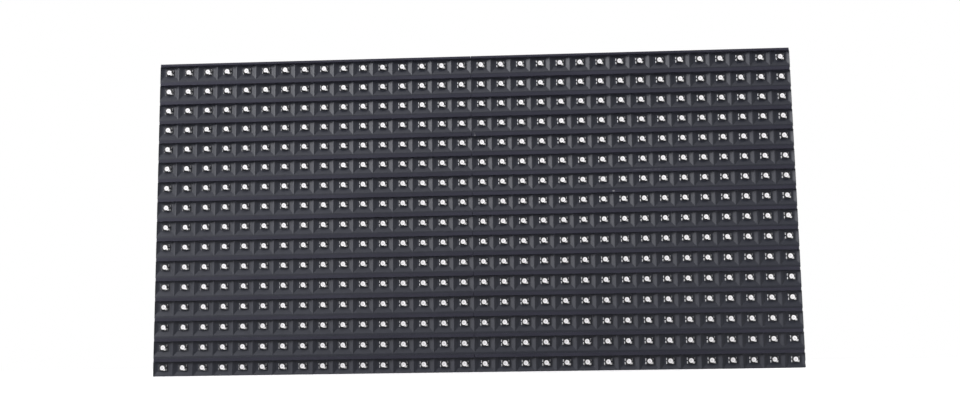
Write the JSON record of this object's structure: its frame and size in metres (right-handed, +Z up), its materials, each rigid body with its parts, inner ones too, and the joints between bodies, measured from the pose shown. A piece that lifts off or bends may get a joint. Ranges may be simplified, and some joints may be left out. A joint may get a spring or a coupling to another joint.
{
  "type": "rgb led matrix panel",
  "caption": "Flat rectangular outdoor display module: a louvred mask over a grid of full-colour LEDs, a circuit board and a moulded rear frame with threaded inserts and data and power headers.",
  "frame": {"origin": "middle of the six threaded inserts, on the plane where their faces meet the cabinet", "axes": "+X to the right and +Z up, as the panel hangs and is looked at from the front, which faces -Y; +Y points out of the back, along the inserts"},
  "size_m": [0.3194, 0.0186, 0.1584],
  "materials": {
    "mask_plastic": "fine matte grain",
    "frame_plastic": "satin",
    "board_laminate": "satin",
    "led_body": "satin",
    "chip_body": "matte",
    "connector_plastic": "satin",
    "contact_metal": "plated",
    "insert_brass": "turned",
    "seal_rubber": "matte",
    "can_aluminium": "satin"
  },
  "bodies": {
    "root": {"mask_left": "mask_plastic", "mask_right": "mask_plastic", "circuit_board": "board_laminate", "rear_frame": "frame_plastic", "sealing_gasket": "seal_rubber", "cabinet_inserts": "insert_brass", "red_driver_chips": "chip_body", "green_driver_chips": "chip_body", "blue_driver_chips": "chip_body", "row_switch_chips": "chip_body", "row_decoder_chip": "chip_body", "signal_buffer_chips": "chip_body", "bulk_capacitors": "can_aluminium", "power_header": "connector_plastic", "power_pins": "contact_metal", "data_in_header": "connector_plastic", "data_in_pins": "contact_metal", "data_out_header": "connector_plastic", "data_out_pins": "contact_metal", "led_row_01": "led_body", "led_row_02": "led_body", "led_row_03": "led_body", "led_row_04": "led_body", "led_row_05": "led_body", "led_row_06": "led_body", "led_row_07": "led_body", "led_row_08": "led_body", "led_row_09": "led_body", "led_row_10": "led_body", "led_row_11": "led_body", "led_row_12": "led_body", "led_row_13": "led_body", "led_row_14": "led_body", "led_row_15": "led_body", "led_row_16": "led_body"}
  },
  "joints": []
}
